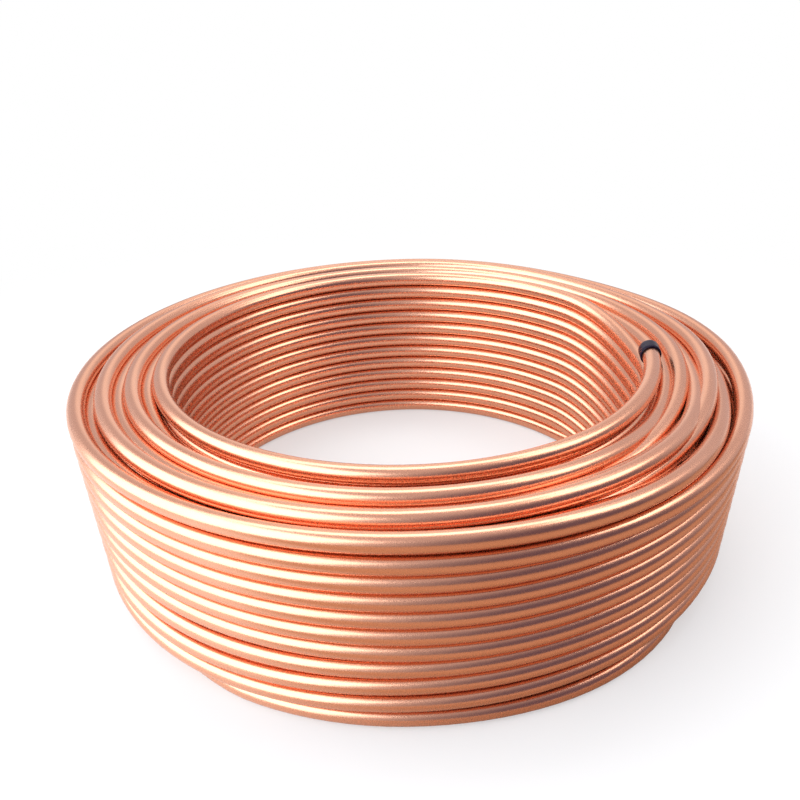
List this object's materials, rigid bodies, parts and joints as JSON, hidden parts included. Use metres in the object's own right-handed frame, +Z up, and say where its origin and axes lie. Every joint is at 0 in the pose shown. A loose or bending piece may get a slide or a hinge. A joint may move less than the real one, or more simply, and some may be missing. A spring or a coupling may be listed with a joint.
{
  "type": "copper tube coil",
  "caption": "Level-wound ring coil of bright soft copper tube lying flat, with an open round bore and a black push-on cap on the free end.",
  "frame": {"origin": "on the floor, on the axis of the coil's bore", "axes": "+Z up along the bore axis, -Y towards the viewer of the picture, +X to the right, near the capped free end"},
  "size_m": [0.5298, 0.5298, 0.1576],
  "materials": {
    "copper": "bright drawn copper",
    "cap_plastic": "glossy black plastic"
  },
  "bodies": {
    "root": {"copper_tube": "copper", "end_cap": "cap_plastic"}
  },
  "joints": []
}
